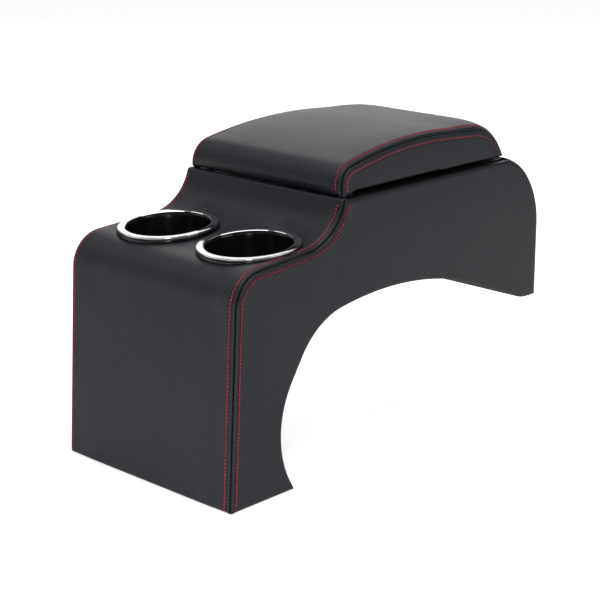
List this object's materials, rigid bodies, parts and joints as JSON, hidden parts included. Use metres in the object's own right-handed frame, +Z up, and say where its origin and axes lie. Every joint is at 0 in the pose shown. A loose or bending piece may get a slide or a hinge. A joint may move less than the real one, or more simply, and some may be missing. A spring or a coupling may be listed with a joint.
{
  "type": "bench seat console",
  "caption": "Padded saddle console for a bench seat: arched leathercloth body with stitched edges, chrome-ringed cup holders in a low front deck and a hinged padded lid over a storage bin.",
  "frame": {"origin": "middle of the front foot's underside, on the floor", "axes": "+X to the right when facing the seat, +Y back along the seat, +Z up"},
  "size_m": [0.2158, 0.4417, 0.2878],
  "materials": {
    "upholstery": "satin fine-grain leathercloth",
    "board": "black stained plywood",
    "arch_lining": "black stained board",
    "lining": "black lining cloth",
    "tub_plastic": "fine textured black",
    "cup_plastic": "gloss black",
    "ring_chrome": "bright chrome",
    "hinge_steel": "plated steel",
    "rubber": "matt rubber",
    "foam": "upholstery foam"
  },
  "bodies": {
    "console": {"left_side_board": "board", "right_side_board": "board", "front_deck_panel": "board", "rear_panel": "board", "arch_panel": "arch_lining", "front_foot_board": "board", "rear_rail": "board", "storage_tub": "tub_plastic", "front_deck_cover": "upholstery", "left_side_cover": "upholstery", "right_side_cover": "upholstery", "rear_cover": "upholstery", "cup_holder_left": "cup_plastic", "cup_holder_right": "cup_plastic", "cup_ring_left": "ring_chrome", "cup_ring_right": "ring_chrome", "body_hinge_leaf": "hinge_steel", "hinge_pin": "hinge_steel", "body_hinge_screws": "hinge_steel", "lid_bumpers": "rubber"},
    "lid": {"lid_board": "board", "lid_foam": "foam", "lid_centre_cover": "upholstery", "lid_left_cover": "upholstery", "lid_right_cover": "upholstery", "lid_lining": "lining", "lid_hinge_leaf": "hinge_steel", "lid_hinge_screws": "hinge_steel"}
  },
  "joints": [
    {"name": "lid_hinge", "type": "hinge", "parent": "console", "child": "lid", "pos_m": [0, 0.3487, 0.2522], "axis": [-1, 0, 0], "range_deg": [0, 100]}
  ]
}
